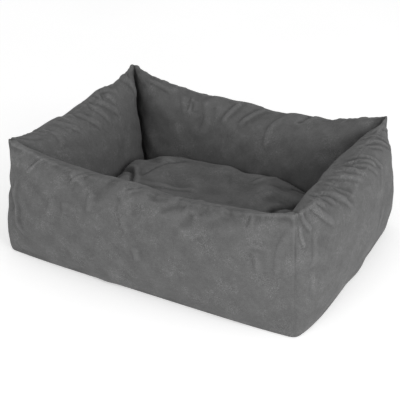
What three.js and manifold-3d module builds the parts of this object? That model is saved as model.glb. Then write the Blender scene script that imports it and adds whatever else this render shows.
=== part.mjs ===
// Pet cushion bed: four padded walls sewn round a flat base, with a loose zipped cushion inside.
// Millimetres, +Z up. The origin is the middle of the underside; +X is the long way, -Y the front.

import * as THREE from 'three';
import { mergeVertices } from 'three/addons/utils/BufferGeometryUtils.js';
import Module from 'manifold-3d';

const wasm = await Module();
wasm.setup();

// Overall sizes
const BED_LENGTH = 720; // between the base corners, along X
const BED_DEPTH = 545; // between the base corners, along Y
const PEAK_HEIGHT = 280; // pointed corners of the walls
const PEAK_INSET = 14; // how far in from the base corner a peak stands
const WALL_FOOT = 102; // how far in from the base edge a wall's inner panel is sewn down

// Wall sections at the middle of a side: the crest, how far the base edge bows outwards, and the
// handles that draw the outer face out
const LONG_WALL = { crestHeight: 244, crestInset: 17, baseBow: 7, outerSwell: 46, outerTop: 60 };
const SHORT_WALL = { crestHeight: 260, crestInset: 13, baseBow: 20, outerSwell: 60, outerTop: 66 };
const INNER_TOP_REACH = 80; // handle of the crest curve towards the lying space
const INNER_SWELL = 114; // handle of the inner face, in from the base edge
const SWELL_HEIGHT_RATIO = 0.25; // height of the lower handles as a share of the crest height
const FULLNESS_POWER = 4; // how soon a wall reaches its full section away from a corner

// The point that a wall's layers shrink towards, and its distance to the nearest face
const CORNER_HEART = { inset: 39, height: 42, reach: 37 };
const MIDDLE_HEART = { inset: 34, height: 100, reach: 66 };

// Layers and gaps
const SKIN = 2.5; // canvas panel with its backing
const GAP = 0.4; // room left between neighbouring pieces
const MITRE_GAP = 0.25; // how far each wall end stops short of the corner plane, along the wall
const FLOOR_PANEL = 2.5; // underside panel
const WALL_BOTTOM = FLOOR_PANEL + GAP;

// Base inside the walls
const BASE_EDGE_INSET = 105.5;
const WADDING = 12;
const LINING = 1.5;
const BASE_CORNER = 22;

// Cushion
const CUSHION_INSET = 108;
const CUSHION_SEAM_HEIGHT = 45;
const CUSHION_CROWN = 60;
const CUSHION_POWER = 6; // squareness of the cushion's outline
const CUSHION_COVER = 1.8;
const PAD_GAP = 3.4; // room between cover and inner pad, for the back of the zip slider
const BACK_FACE = 155.5; // the zipped edge is straight, this far behind the middle
const TOP_ROUNDNESS = 0.62;
const BOTTOM_ROUNDNESS = 0.3;

// Zip
const COIL_LENGTH = 410;
const COIL_HEIGHT = 2.6;
const COIL_DEPTH = 2;
const COIL_SLOT = 1.2;
const TAPE_HEIGHT = 5.2;
const TAPE_DEPTH = 1;
const ZIP_SLOT_HALF_HEIGHT = 9;
const STOP_LENGTH = 3.4;
const SLIDER_LENGTH = 10;
const SLIDER_FRONT = { height: 8.6, depth: 1.2 };
const SLIDER_BACK = { height: 7.6, depth: 1 };
const SLIDER_WEB = 0.6;
const SLIDER_CLEARANCE = 0.5;
const BAIL = { halfWidth: 2.6, post: 1, height: 3.1, bar: 0.8, depth: 2.4 };
const TAB = { length: 12.4, width: 7.2, thickness: 1.2, bar: 1.2, window: 2.8, windowWidth: 3.4 };
const TAB_AXIS_OFFSET = 1.3; // pull tab axis in front of the slider's front plate

// Mesh steps
const WALL_STATIONS = 14;
const CURVE_STEPS = 7;
const CUSHION_SEGMENTS = 36;
const DOME_RINGS = 5;
const MERGE_DISTANCE = 1e-4;
const JOIN_OVERLAP = 0.2; // how far blocks of one piece reach into each other before they are joined

const cushionBottom = FLOOR_PANEL + GAP + WADDING + GAP + LINING + GAP;
const seamZ = cushionBottom + CUSHION_SEAM_HEIGHT;

const COLOURS = {
  canvas: 0x5c5c5c,
  innerCanvas: 0x525252,
  cushionCanvas: 0x565656,
  underside: 0x2c2c2c,
  fibre: 0xe6e4de,
  zipTape: 0x3a3a3a,
  coil: 0x2b2b2b,
  metal: 0x8c8c8c,
};

const FABRIC_ROUGHNESS = 0.95;
const METAL_ROUGHNESS = 0.35;

const bed = new THREE.Group();

function addPiece(name, geometry, color, metalness = 0) {
  const roughness = metalness > 0 ? METAL_ROUGHNESS : FABRIC_ROUGHNESS;
  const material = new THREE.MeshStandardMaterial({ color, roughness, metalness });
  const mesh = new THREE.Mesh(geometry, material);
  mesh.name = name;
  bed.add(mesh);
  return mesh;
}

// A closed body from points and triangles, turned so that its faces point out.
function closedBody(points, triangles) {
  let volume = 0;
  for (const [a, b, c] of triangles) {
    volume += points[a].dot(new THREE.Vector3().crossVectors(points[b], points[c]));
  }
  const ordered = volume < 0 ? triangles.map(([a, b, c]) => [a, c, b]) : triangles;
  const geometry = new THREE.BufferGeometry();
  geometry.setAttribute('position', new THREE.Float32BufferAttribute(points.flatMap((p) => p.toArray()), 3));
  geometry.setIndex(ordered.flat());
  return geometry;
}

// The bands of triangles between rings of equally many points. Points from turnedFrom on run the
// other way along the section, so their patches are split along the other diagonal: layers of one
// wall are then split alike and stay apart.
function stitchRings(rings, turnedFrom = Infinity) {
  const count = rings[0].length;
  const triangles = [];
  for (let ring = 0; ring < rings.length - 1; ring += 1) {
    for (let i = 0; i < count; i += 1) {
      const [a, b] = [ring * count + i, ring * count + ((i + 1) % count)];
      const [c, d] = [b + count, a + count];
      const patch = i < turnedFrom ? [[a, b, c], [a, c, d]] : [[a, b, d], [b, c, d]];
      triangles.push(...patch);
    }
  }
  return triangles;
}

// The triangles that fill an outline, all turned the way that its points run.
function fillCap(outline) {
  const faces = THREE.ShapeUtils.triangulateShape(outline, []);
  return THREE.ShapeUtils.isClockWise(outline) ? faces.map(([a, b, c]) => [a, c, b]) : faces;
}

// Joins rings of equally many points into a tube and closes its two ends with flat caps.
function loft(rings, startOutline, endOutline, turnedFrom) {
  const triangles = stitchRings(rings, turnedFrom);
  const last = (rings.length - 1) * rings[0].length;
  for (const [a, b, c] of fillCap(startOutline)) {
    triangles.push([a, c, b]);
  }
  for (const [a, b, c] of fillCap(endOutline)) {
    triangles.push([last + a, last + b, last + c]);
  }
  return closedBody(rings.flat(), triangles);
}

function lerpPoint(from, to, share) {
  return new THREE.Vector2().lerpVectors(from, to, share);
}

// The section of a wall as two curves, outer face up to the crest and inner face down from it.
// fullness runs from 0 at a corner, a plain triangle, to 1 at the middle, a fat round bolster.
function wallSection(wall, fullness) {
  const { crestHeight, crestInset, baseBow, outerSwell, outerTop } = wall;
  const foot = new THREE.Vector2(0, WALL_BOTTOM);
  const heel = new THREE.Vector2(WALL_FOOT, WALL_BOTTOM);
  const peak = new THREE.Vector2(PEAK_INSET, PEAK_HEIGHT);
  const swellHeight = crestHeight * SWELL_HEIGHT_RATIO;
  const crest = new THREE.Vector2(crestInset, crestHeight);
  const corner = {
    outer: [foot, lerpPoint(foot, peak, 1 / 3), lerpPoint(foot, peak, 2 / 3), peak],
    inner: [peak, lerpPoint(peak, heel, 1 / 3), lerpPoint(peak, heel, 2 / 3), heel],
  };
  const middle = {
    outer: [
      new THREE.Vector2(-baseBow, WALL_BOTTOM),
      new THREE.Vector2(-outerSwell, swellHeight),
      new THREE.Vector2(crestInset - outerTop, crestHeight),
      crest,
    ],
    inner: [
      crest,
      new THREE.Vector2(crestInset + INNER_TOP_REACH, crestHeight),
      new THREE.Vector2(INNER_SWELL, swellHeight),
      heel,
    ],
  };
  const curves = {};
  for (const side of ['outer', 'inner']) {
    const handles = corner[side].map((handle, i) => lerpPoint(handle, middle[side][i], fullness));
    curves[side] = new THREE.CubicBezierCurve(...handles).getPoints(CURVE_STEPS);
  }
  return curves;
}

// Moves a curve inwards by at least the given depth. Its foot stays on the floor panel.
function shrinkCurve(curve, fullness, depth, baseIndex) {
  const blend = (key) => THREE.MathUtils.lerp(CORNER_HEART[key], MIDDLE_HEART[key], fullness);
  const centre = new THREE.Vector2(blend('inset'), blend('height'));
  const reach = blend('reach');
  return curve.map((point, i) => {
    const moved = lerpPoint(point, centre, depth / reach);
    return i === baseIndex ? new THREE.Vector2(moved.x, WALL_BOTTOM) : moved;
  });
}

// Moves the crest end of a curve aside, so that the two panels don't touch at the top seam.
function partAtCrest(curve, crestIndex, shift) {
  return curve.map((point, i) => (i === crestIndex ? new THREE.Vector2(point.x + shift, point.y) : point));
}

function panelOutline(wall, fullness, side) {
  const face = wallSection(wall, fullness)[side];
  const baseIndex = side === 'outer' ? 0 : CURVE_STEPS;
  const crestIndex = CURVE_STEPS - baseIndex;
  const shift = side === 'outer' ? -GAP / 2 : GAP / 2;
  const back = shrinkCurve(face, fullness, SKIN, baseIndex);
  return [...partAtCrest(face, crestIndex, shift), ...partAtCrest(back, crestIndex, shift).reverse()];
}

function fillOutline(wall, fullness) {
  const { outer, inner } = wallSection(wall, fullness);
  const depth = SKIN + GAP;
  const up = shrinkCurve(outer, fullness, depth, 0);
  const down = shrinkCurve(inner, fullness, depth, CURVE_STEPS);
  return [...up, ...down.slice(1)];
}

// Sweeps a section along a wall. The ends lie in the corner planes, at 45 degrees to the wall.
function sweepWall(length, outlineAt, turnedFrom) {
  const rings = [];
  const outlines = [];
  for (let station = 0; station <= WALL_STATIONS; station += 1) {
    const along = (1 - Math.cos((Math.PI * station) / WALL_STATIONS)) / 2;
    const fullness = 1 - Math.abs(2 * along - 1) ** FULLNESS_POWER;
    const outline = outlineAt(fullness);
    outlines.push(outline);
    rings.push(outline.map(({ x: inset, y: height }) => {
      const start = inset + MITRE_GAP;
      return new THREE.Vector3(start + (length - 2 * start) * along - length / 2, inset, height);
    }));
  }
  return loft(rings, outlines[0], outlines[WALL_STATIONS], turnedFrom);
}

function addWall(name, wall, length, position, angle) {
  const turned = CURVE_STEPS + 1;
  const outer = (fullness) => panelOutline(wall, fullness, 'outer');
  const inner = (fullness) => panelOutline(wall, fullness, 'inner');
  const fill = (fullness) => fillOutline(wall, fullness);
  const layers = [
    [`${name}_outer_panel`, sweepWall(length, outer, turned), COLOURS.canvas],
    [`${name}_inner_panel`, sweepWall(length, inner, turned), COLOURS.innerCanvas],
    [`${name}_fibre_fill`, sweepWall(length, fill), COLOURS.fibre],
  ];
  for (const [nodeName, geometry, colour] of layers) {
    const mesh = addPiece(nodeName, geometry, colour);
    mesh.position.set(position[0], position[1], 0);
    mesh.rotation.z = angle;
  }
}

function addWalls() {
  addWall('front_wall', LONG_WALL, BED_LENGTH, [0, -BED_DEPTH / 2], 0);
  addWall('right_wall', SHORT_WALL, BED_DEPTH, [BED_LENGTH / 2, 0], Math.PI / 2);
  addWall('back_wall', LONG_WALL, BED_LENGTH, [0, BED_DEPTH / 2], Math.PI);
  addWall('left_wall', SHORT_WALL, BED_DEPTH, [-BED_LENGTH / 2, 0], -Math.PI / 2);
}

// A flat sheet with its underside at the given height.
function slab(shape, bottom, thickness) {
  const options = { depth: thickness, bevelEnabled: false, curveSegments: 6 };
  return new THREE.ExtrudeGeometry(shape, options).translate(0, 0, bottom);
}

function addFloorPanel() {
  const halfLength = BED_LENGTH / 2;
  const halfDepth = BED_DEPTH / 2;
  // a quadratic curve's handle stands twice as far out as its middle
  const longBow = 2 * LONG_WALL.baseBow;
  const shortBow = 2 * SHORT_WALL.baseBow;
  const outline = new THREE.Shape();
  outline.moveTo(-halfLength, -halfDepth);
  outline.quadraticCurveTo(0, -halfDepth - longBow, halfLength, -halfDepth);
  outline.quadraticCurveTo(halfLength + shortBow, 0, halfLength, halfDepth);
  outline.quadraticCurveTo(0, halfDepth + longBow, -halfLength, halfDepth);
  outline.quadraticCurveTo(-halfLength - shortBow, 0, -halfLength, -halfDepth);
  addPiece('base_bottom_panel', slab(outline, 0, FLOOR_PANEL), COLOURS.underside);
}

function roundedRectangle(halfLength, halfDepth, radius) {
  const outline = new THREE.Shape();
  outline.absarc(halfLength - radius, halfDepth - radius, radius, 0, Math.PI / 2);
  outline.absarc(radius - halfLength, halfDepth - radius, radius, Math.PI / 2, Math.PI);
  outline.absarc(radius - halfLength, radius - halfDepth, radius, Math.PI, Math.PI * 1.5);
  outline.absarc(halfLength - radius, radius - halfDepth, radius, Math.PI * 1.5, Math.PI * 2);
  return outline;
}

function addBaseLayers() {
  const halfLength = BED_LENGTH / 2 - BASE_EDGE_INSET;
  const halfDepth = BED_DEPTH / 2 - BASE_EDGE_INSET;
  const outline = roundedRectangle(halfLength, halfDepth, BASE_CORNER);
  const waddingBottom = FLOOR_PANEL + GAP;
  addPiece('base_wadding', slab(outline, waddingBottom, WADDING), COLOURS.fibre);
  addPiece('base_top_lining', slab(outline, waddingBottom + WADDING + GAP, LINING), COLOURS.innerCanvas);
}

// One ring of the cushion: a squared oval with a straight back edge, at a share of its full size.
function cushionRing(inset, share, height) {
  const halfLength = BED_LENGTH / 2 - CUSHION_INSET - inset;
  const halfDepth = BED_DEPTH / 2 - CUSHION_INSET - inset;
  const ring = [];
  for (let i = 0; i < CUSHION_SEGMENTS; i += 1) {
    const angle = (2 * Math.PI * (i + 0.5)) / CUSHION_SEGMENTS;
    const across = Math.cos(angle);
    const deep = Math.sin(angle);
    const powers = Math.abs(across) ** CUSHION_POWER + Math.abs(deep) ** CUSHION_POWER;
    const radius = powers ** (-1 / CUSHION_POWER);
    const y = Math.min(halfDepth * radius * deep, BACK_FACE - inset);
    ring.push(new THREE.Vector3(halfLength * radius * across * share, y * share, height));
  }
  return ring;
}

// Rings of a dome from its seam to its pole. rise is negative for the underside.
function domeRings(inset, rise, roundness) {
  const rings = [];
  const height = rise - Math.sign(rise) * inset;
  for (let i = 0; i < DOME_RINGS; i += 1) {
    const angle = (Math.PI / 2) * (i / DOME_RINGS);
    const share = Math.cos(angle) ** roundness;
    rings.push(cushionRing(inset, share, seamZ + height * Math.sin(angle) ** roundness));
  }
  return { rings, pole: new THREE.Vector3(0, 0, seamZ + height) };
}

function closeToPole(lastRing, pole, flip, triangles) {
  for (let i = 0; i < CUSHION_SEGMENTS; i += 1) {
    const a = lastRing * CUSHION_SEGMENTS + i;
    const b = lastRing * CUSHION_SEGMENTS + ((i + 1) % CUSHION_SEGMENTS);
    triangles.push(flip ? [b, a, pole] : [a, b, pole]);
  }
}

// A closed body between two poles: the rings run from the first pole to the last.
function ringBody(rings, firstPole, lastPole) {
  const points = [...rings.flat(), firstPole, lastPole];
  const triangles = stitchRings(rings);
  closeToPole(0, points.length - 2, true, triangles);
  closeToPole(rings.length - 1, points.length - 1, false, triangles);
  return closedBody(points, triangles);
}

// One half of the cover: its outer dome, joined at the rim to its inner dome.
function coverHalf(rise, roundness) {
  const lift = Math.sign(rise) * (GAP / 2);
  const outer = domeRings(0, rise, roundness);
  const inner = domeRings(CUSHION_COVER, rise, roundness);
  const atRim = (rings) => rings[0].forEach((point) => point.setZ(seamZ + lift));
  atRim(outer.rings);
  atRim(inner.rings);
  return ringBody([...outer.rings.reverse(), ...inner.rings], outer.pole, inner.pole);
}

function toSolid(geometry) {
  const plain = geometry.clone();
  plain.deleteAttribute('normal');
  plain.deleteAttribute('uv');
  const merged = mergeVertices(plain, MERGE_DISTANCE);
  return new wasm.Manifold(new wasm.Mesh({
    numProp: 3,
    vertProperties: new Float32Array(merged.attributes.position.array),
    triVerts: new Uint32Array(merged.index.array),
  }));
}

function fromSolid(solid) {
  const mesh = solid.getMesh();
  const geometry = new THREE.BufferGeometry();
  geometry.setAttribute('position', new THREE.BufferAttribute(mesh.vertProperties, 3));
  geometry.setIndex(new THREE.BufferAttribute(mesh.triVerts, 1));
  return geometry;
}

function box(x0, x1, y0, y1, z0, z1) {
  const geometry = new THREE.BoxGeometry(x1 - x0, y1 - y0, z1 - z0);
  return geometry.translate((x0 + x1) / 2, (y0 + y1) / 2, (z0 + z1) / 2);
}

// Both halves of the cover stop short of the zip, which fills a slot in the back edge.
function addCushionCovers() {
  const halfSlot = COIL_LENGTH / 2 + STOP_LENGTH + 2 * GAP;
  const slot = toSolid(box(
    -halfSlot, halfSlot,
    BACK_FACE - 2 * PAD_GAP, BACK_FACE + PAD_GAP,
    seamZ - ZIP_SLOT_HALF_HEIGHT, seamZ + ZIP_SLOT_HALF_HEIGHT,
  ));
  const top = toSolid(coverHalf(CUSHION_CROWN, TOP_ROUNDNESS)).subtract(slot);
  const bottom = toSolid(coverHalf(-CUSHION_SEAM_HEIGHT, BOTTOM_ROUNDNESS)).subtract(slot);
  addPiece('cushion_cover_top', fromSolid(top), COLOURS.cushionCanvas);
  addPiece('cushion_cover_bottom', fromSolid(bottom), COLOURS.underside);
}

function addCushionPad() {
  const inset = CUSHION_COVER + PAD_GAP;
  const top = domeRings(inset, CUSHION_CROWN, TOP_ROUNDNESS);
  const bottom = domeRings(inset, -CUSHION_SEAM_HEIGHT, BOTTOM_ROUNDNESS);
  const rings = [...bottom.rings.reverse(), ...top.rings.slice(1)];
  addPiece('cushion_inner_pad', ringBody(rings, bottom.pole, top.pole), COLOURS.fibre);
}

// Tapes and coils are mirrored about the seam; the slider's web runs in the slot between the coils.
function addZipRows() {
  const half = COIL_LENGTH / 2;
  const rows = [['upper', 1], ['lower', -1]];
  for (const [row, side] of rows) {
    const coilNear = side * (COIL_SLOT / 2);
    const coilFar = side * (COIL_SLOT / 2 + COIL_HEIGHT);
    const tapeNear = coilFar + side * GAP;
    const tapeFar = tapeNear + side * TAPE_HEIGHT - side * GAP;
    const coilBack = BACK_FACE - COIL_DEPTH / 2;
    const tapeBack = BACK_FACE - TAPE_DEPTH;
    const span = (near, far) => [seamZ + Math.min(near, far), seamZ + Math.max(near, far)];
    const coil = box(-half, half, coilBack, coilBack + COIL_DEPTH, ...span(coilNear, coilFar));
    const tape = box(-half, half, tapeBack, tapeBack + TAPE_DEPTH, ...span(tapeNear, tapeFar));
    addPiece(`zip_coil_${row}`, coil, COLOURS.coil);
    addPiece(`zip_tape_${row}`, tape, COLOURS.zipTape);
  }
}

function addZipStops() {
  const near = COIL_LENGTH / 2 + GAP;
  const reach = COIL_SLOT / 2 + COIL_HEIGHT;
  const back = BACK_FACE - COIL_DEPTH / 2;
  const front = back + COIL_DEPTH;
  const far = near + STOP_LENGTH;
  addPiece('zip_top_stop', box(-far, -near, back, front, seamZ - reach, seamZ + reach), COLOURS.metal, 1);
  addPiece('zip_bottom_stop', box(near, far, back, front, seamZ - reach, seamZ + reach), COLOURS.metal, 1);
}

const sliderX = -COIL_LENGTH / 2 + SLIDER_LENGTH / 2 + GAP;
const sliderFaceY = BACK_FACE + COIL_DEPTH / 2 + SLIDER_CLEARANCE + SLIDER_FRONT.depth;
const tabAxisY = sliderFaceY + TAB_AXIS_OFFSET;

// Two plates joined by a thin web through the slot between the coils, and a bail for the pull tab.
function addSlider() {
  const half = SLIDER_LENGTH / 2;
  const frontBack = sliderFaceY - SLIDER_FRONT.depth;
  const backFront = BACK_FACE - COIL_DEPTH / 2 - SLIDER_CLEARANCE;
  const web = SLIDER_WEB / 2;
  const frontHalf = SLIDER_FRONT.height / 2;
  const backHalf = SLIDER_BACK.height / 2;
  const bailHalf = BAIL.depth / 2;
  const bailTop = sliderFaceY + BAIL.height;
  const overlap = JOIN_OVERLAP;
  const blocks = [
    box(-half, half, frontBack, sliderFaceY, -frontHalf, frontHalf),
    box(-half, half, backFront - overlap, frontBack + overlap, -web, web),
    box(-half, half, backFront - SLIDER_BACK.depth, backFront, -backHalf, backHalf),
    box(-BAIL.halfWidth, BAIL.post - BAIL.halfWidth, sliderFaceY - overlap, bailTop, -bailHalf, bailHalf),
    box(BAIL.halfWidth - BAIL.post, BAIL.halfWidth, sliderFaceY - overlap, bailTop, -bailHalf, bailHalf),
    box(-BAIL.halfWidth, BAIL.halfWidth, bailTop - BAIL.bar, bailTop, -bailHalf, bailHalf),
  ];
  const solid = blocks.map(toSolid).reduce((joined, block) => joined.add(block));
  const slider = addPiece('zip_slider', fromSolid(solid), COLOURS.metal, 1);
  slider.position.set(sliderX, 0, seamZ);
}

// A flat tab that hooks under the bail by the bar at its end and swings about that bar.
function addPullTab() {
  const halfBar = TAB.bar / 2;
  const halfWidth = TAB.width / 2;
  const round = halfWidth - GAP;
  const outline = new THREE.Shape();
  outline.moveTo(-halfBar, -halfWidth);
  outline.lineTo(TAB.length - round, -halfWidth);
  outline.quadraticCurveTo(TAB.length, -halfWidth, TAB.length, 0);
  outline.quadraticCurveTo(TAB.length, halfWidth, TAB.length - round, halfWidth);
  outline.lineTo(-halfBar, halfWidth);
  const hole = new THREE.Path();
  const windowEnd = halfBar + TAB.window;
  const windowHalf = TAB.windowWidth / 2;
  hole.moveTo(halfBar, -windowHalf);
  hole.lineTo(halfBar, windowHalf);
  hole.lineTo(windowEnd, windowHalf);
  hole.lineTo(windowEnd, -windowHalf);
  outline.holes.push(hole);
  const plate = slab(outline, -TAB.thickness / 2, TAB.thickness).rotateX(Math.PI / 2);
  const tab = addPiece('zip_pull_tab', plate, COLOURS.metal, 1);
  tab.position.set(sliderX, tabAxisY, seamZ);
}

addFloorPanel();
addBaseLayers();
addWalls();
addCushionCovers();
addCushionPad();
addZipRows();
addZipStops();
addSlider();
addPullTab();

export default bed;
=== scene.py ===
"""Pet cushion bed: brushed canvas walls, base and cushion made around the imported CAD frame.

Metres, +Z up, the origin in the middle of the underside, +X the long way and -Y the front.
"""
import math

import bpy
import numpy as np
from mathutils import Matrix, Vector
from mathutils.bvhtree import BVHTree


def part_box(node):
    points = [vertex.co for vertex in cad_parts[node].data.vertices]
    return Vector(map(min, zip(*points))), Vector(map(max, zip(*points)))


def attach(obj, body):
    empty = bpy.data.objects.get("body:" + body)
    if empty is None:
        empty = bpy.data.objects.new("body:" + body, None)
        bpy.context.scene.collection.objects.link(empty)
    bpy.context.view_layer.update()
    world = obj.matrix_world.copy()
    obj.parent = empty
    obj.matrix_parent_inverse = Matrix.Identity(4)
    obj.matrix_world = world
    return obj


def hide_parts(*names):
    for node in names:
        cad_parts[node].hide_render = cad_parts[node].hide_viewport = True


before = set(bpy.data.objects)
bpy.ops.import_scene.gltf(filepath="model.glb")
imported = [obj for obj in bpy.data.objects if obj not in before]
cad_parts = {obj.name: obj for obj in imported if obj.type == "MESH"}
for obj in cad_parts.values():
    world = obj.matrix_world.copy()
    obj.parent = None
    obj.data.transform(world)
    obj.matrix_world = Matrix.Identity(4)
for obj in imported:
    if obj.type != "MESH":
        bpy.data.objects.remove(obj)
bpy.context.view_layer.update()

# ---------------------------------------------------------------- sizes, from the frame
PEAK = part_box("front_wall_outer_panel")[1].z
HALF_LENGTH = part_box("front_wall_outer_panel")[1].x
HALF_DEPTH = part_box("right_wall_outer_panel")[1].y
UNDERSIDE_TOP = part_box("base_bottom_panel")[1].z
SHORT_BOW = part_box("base_bottom_panel")[1].x - HALF_LENGTH
LONG_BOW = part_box("base_bottom_panel")[1].y - HALF_DEPTH
WALL_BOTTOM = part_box("front_wall_outer_panel")[0].z
SEAM_HEIGHT = (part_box("zip_coil_upper")[0].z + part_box("zip_coil_lower")[1].z) / 2
CUSHION_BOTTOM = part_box("cushion_cover_bottom")[0].z
CUSHION_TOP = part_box("cushion_cover_top")[1].z
CUSHION_HALF_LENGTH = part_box("cushion_cover_top")[1].x
CUSHION_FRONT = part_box("cushion_cover_top")[0].y
ZIP_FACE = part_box("zip_tape_upper")[1].y
ZIP_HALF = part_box("zip_bottom_stop")[1].x

# ---------------------------------------------------------------- wall sections
PEAK_INSET = 0.014
WALL_FOOT = 0.102
LONG_WALL = {"crest": 0.244, "crest_inset": 0.017, "bow": LONG_BOW, "swell": 0.046, "top": 0.060}
SHORT_WALL = {"crest": 0.260, "crest_inset": 0.013, "bow": SHORT_BOW, "swell": 0.060, "top": 0.066}
INNER_TOP_REACH = 0.080
INNER_SWELL = 0.114
SWELL_HEIGHT_RATIO = 0.25
CREST_POWER = 3  # how soon the crest comes down from a peak
FLANK_POWER = 4  # how soon the outer face fills out
TOP_POWER = 30  # how soon the top of the inner face fills out
SWELL_POWER = 40  # how soon the lower inner face fills out, past the corner groove
GROOVE_HANDLES = ((0.013, 0.190), (0.021, 0.090))  # the inner corner seam's two middle handles

# name, section, length, middle of the base line, direction along the wall, direction inwards
WALLS = (
    ("front_wall", LONG_WALL, 2 * HALF_LENGTH, (0, -HALF_DEPTH), (1, 0), (0, 1)),
    ("right_wall", SHORT_WALL, 2 * HALF_DEPTH, (HALF_LENGTH, 0), (0, 1), (-1, 0)),
    ("back_wall", LONG_WALL, 2 * HALF_LENGTH, (0, HALF_DEPTH), (-1, 0), (0, -1)),
    ("left_wall", SHORT_WALL, 2 * HALF_DEPTH, (-HALF_LENGTH, 0), (0, -1), (1, 0)),
)

CLOTH_PITCH = 0.0078
OUTER_ROWS = 38
INNER_ROWS = 42
FINER = 3  # fine steps in one cloth step
END_DENSITY = 0.35

WALL_CLOTH = {"pressure": 2.0, "tension": 60.0, "shear": 15.0, "bending": 1.5, "frames": 16}
WALL_SLACK = 0.05
CUSHION_CLOTH = {"pressure": 2.5, "tension": 40.0, "shear": 10.0, "bending": 1.0, "frames": 20}
CUSHION_SLACK = 0.05
MOST_WALL_MOVE = 0.009
MOST_CUSHION_MOVE = 0.008


def lerp(a, b, t):
    return a + (b - a) * t


def smoothstep(low, high, x):
    t = np.clip((x - low) / (high - low), 0, 1)
    return t * t * (3 - 2 * t)


def smooth_noise(points, scale, seed):
    """A smooth random field, mostly from -1 to 1: plane waves with seeded directions."""
    rng = np.random.default_rng(seed)
    total = np.zeros(points.shape[:-1])
    waves = 14
    for _ in range(waves):
        direction = rng.normal(size=points.shape[-1])
        direction *= rng.uniform(0.6, 1.5) / np.linalg.norm(direction) / scale * 2 * np.pi
        total += np.sin(points @ direction + rng.uniform(0, 2 * np.pi))
    return total / math.sqrt(waves)


# ---------------------------------------------------------------- surfaces as grids of points
def bezier(handles, t):
    """Points of a cubic curve; handles are four arrays ending in (inset, height)."""
    a, b, c, d = handles
    t = t[..., None]
    return a * (1 - t) ** 3 + 3 * b * t * (1 - t) ** 2 + 3 * c * t * t * (1 - t) + d * t ** 3


def section_handles(wall, side, along):
    """The four handles of a wall's outer or inner curve at each share along it."""
    off_middle = np.abs(2 * along - 1)
    crest_share, flank_share, top_share, swell_share = (
        1 - off_middle ** power for power in (CREST_POWER, FLANK_POWER, TOP_POWER, SWELL_POWER))
    foot = np.array([0, WALL_BOTTOM])
    heel = np.array([WALL_FOOT, WALL_BOTTOM])
    peak = np.array([PEAK_INSET, PEAK])
    height = wall["crest"]
    crest = np.array([wall["crest_inset"], height])
    low = height * SWELL_HEIGHT_RATIO
    if side == "outer":
        corner = [lerp(foot, peak, k / 3) for k in range(4)]
        middle = (np.array([-wall["bow"], WALL_BOTTOM]), np.array([-wall["swell"], low]),
                  np.array([wall["crest_inset"] - wall["top"], height]), crest)
        shares = (flank_share, flank_share, crest_share, crest_share)
    else:
        corner = [peak, np.array(GROOVE_HANDLES[0]), np.array(GROOVE_HANDLES[1]), heel]
        middle = (crest, np.array([wall["crest_inset"] + INNER_TOP_REACH, height]),
                  np.array([INNER_SWELL, low]), heel)
        shares = (crest_share, lerp(crest_share, top_share, 0.8), swell_share, flank_share)
    return [lerp(c, m, share[..., None]) for c, m, share in zip(corner, middle, shares)]


def even_steps(wall, side, count):
    """Curve parameters that space the middle section evenly, and its length."""
    fine = np.linspace(0, 1, 400)
    points = bezier(section_handles(wall, side, np.full(400, 0.5)), fine)
    run = np.concatenate([[0], np.cumsum(np.linalg.norm(np.diff(points, axis=0), axis=1))])
    return np.interp(np.linspace(0, run[-1], count + 1), run, fine), run[-1]


def stations(length):
    """Shares along a wall from one corner to the other, closer together at its ends."""
    even = np.linspace(0, 1, round(length / CLOTH_PITCH) + 1)
    return even - END_DENSITY * np.sin(2 * np.pi * even) / (2 * np.pi)


def wall_surface(number):
    """Positions (rows, columns, 3) from the foot over the crest to the heel."""
    _, wall, length, middle, ahead, inwards = WALLS[number]
    along = stations(length)
    rows = []
    for side, count in (("outer", OUTER_ROWS), ("inner", INNER_ROWS)):
        steps, _ = even_steps(wall, side, count)
        handles = section_handles(wall, side, along)
        for t in steps[0 if side == "outer" else 1:]:
            rows.append(bezier(handles, np.full(len(along), t)))
    rows = np.array(rows)
    inset, height = rows[..., 0], rows[..., 1]
    run = -length / 2 + inset + (length - 2 * inset) * along
    x = middle[0] + ahead[0] * run + inwards[0] * inset
    y = middle[1] + ahead[1] * run + inwards[1] * inset
    return np.stack([x, y, height], -1)


def grid_faces(rows, columns, closed=False):
    """Quads of a grid of points, and whether its last column joins its first."""
    across = np.arange(columns if closed else columns - 1)
    row = np.arange(rows - 1)[:, None] * columns
    first, right = row + across, row + (across + 1) % columns
    return np.stack([first, right, right + columns, first + columns], -1).reshape(-1, 4)


def capped_faces(rings, count):
    """Faces between closed rings of points, and one over each end."""
    faces = grid_faces(rings, count, closed=True).tolist()
    faces.append(list(reversed(range(count))))
    faces.append([(rings - 1) * count + k for k in range(count)])
    return faces


def corner_share(share_x, share_y, power):
    """How far in each point of a square grid is drawn, so that the square has round corners."""
    edge = np.maximum(np.abs(share_x), np.abs(share_y))
    powers = (np.abs(share_x) ** power + np.abs(share_y) ** power) ** (1 / power)
    return np.where(edge > 0, edge / np.maximum(powers, 1e-9), 1)


def grid_normals(grid):
    """Unit normals of a grid, pointing out where columns run left to right and rows run up."""
    normals = np.cross(np.gradient(grid, axis=1), np.gradient(grid, axis=0))
    return normals / np.maximum(np.linalg.norm(normals, axis=-1, keepdims=True), 1e-12)


def refine_axis(grid, times, axis):
    """More points along an axis of a grid, on a smooth curve through the ones it has."""
    grid = np.moveaxis(grid, axis, 0)
    count = len(grid)
    padded = np.concatenate([2 * grid[:1] - grid[1:2], grid, 2 * grid[-1:] - grid[-2:-1]])
    where = np.arange((count - 1) * times + 1) / times
    cell = np.minimum(where.astype(int), count - 2)
    t = (where - cell).reshape((-1,) + (1,) * (grid.ndim - 1))
    a, b, c, d = (padded[cell + k] for k in range(4))
    fine = 0.5 * (2 * b + (c - a) * t + (2 * a - 5 * b + 4 * c - d) * t ** 2
                  + (3 * b - a - 3 * c + d) * t ** 3)
    return np.moveaxis(fine, 0, axis)


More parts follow.
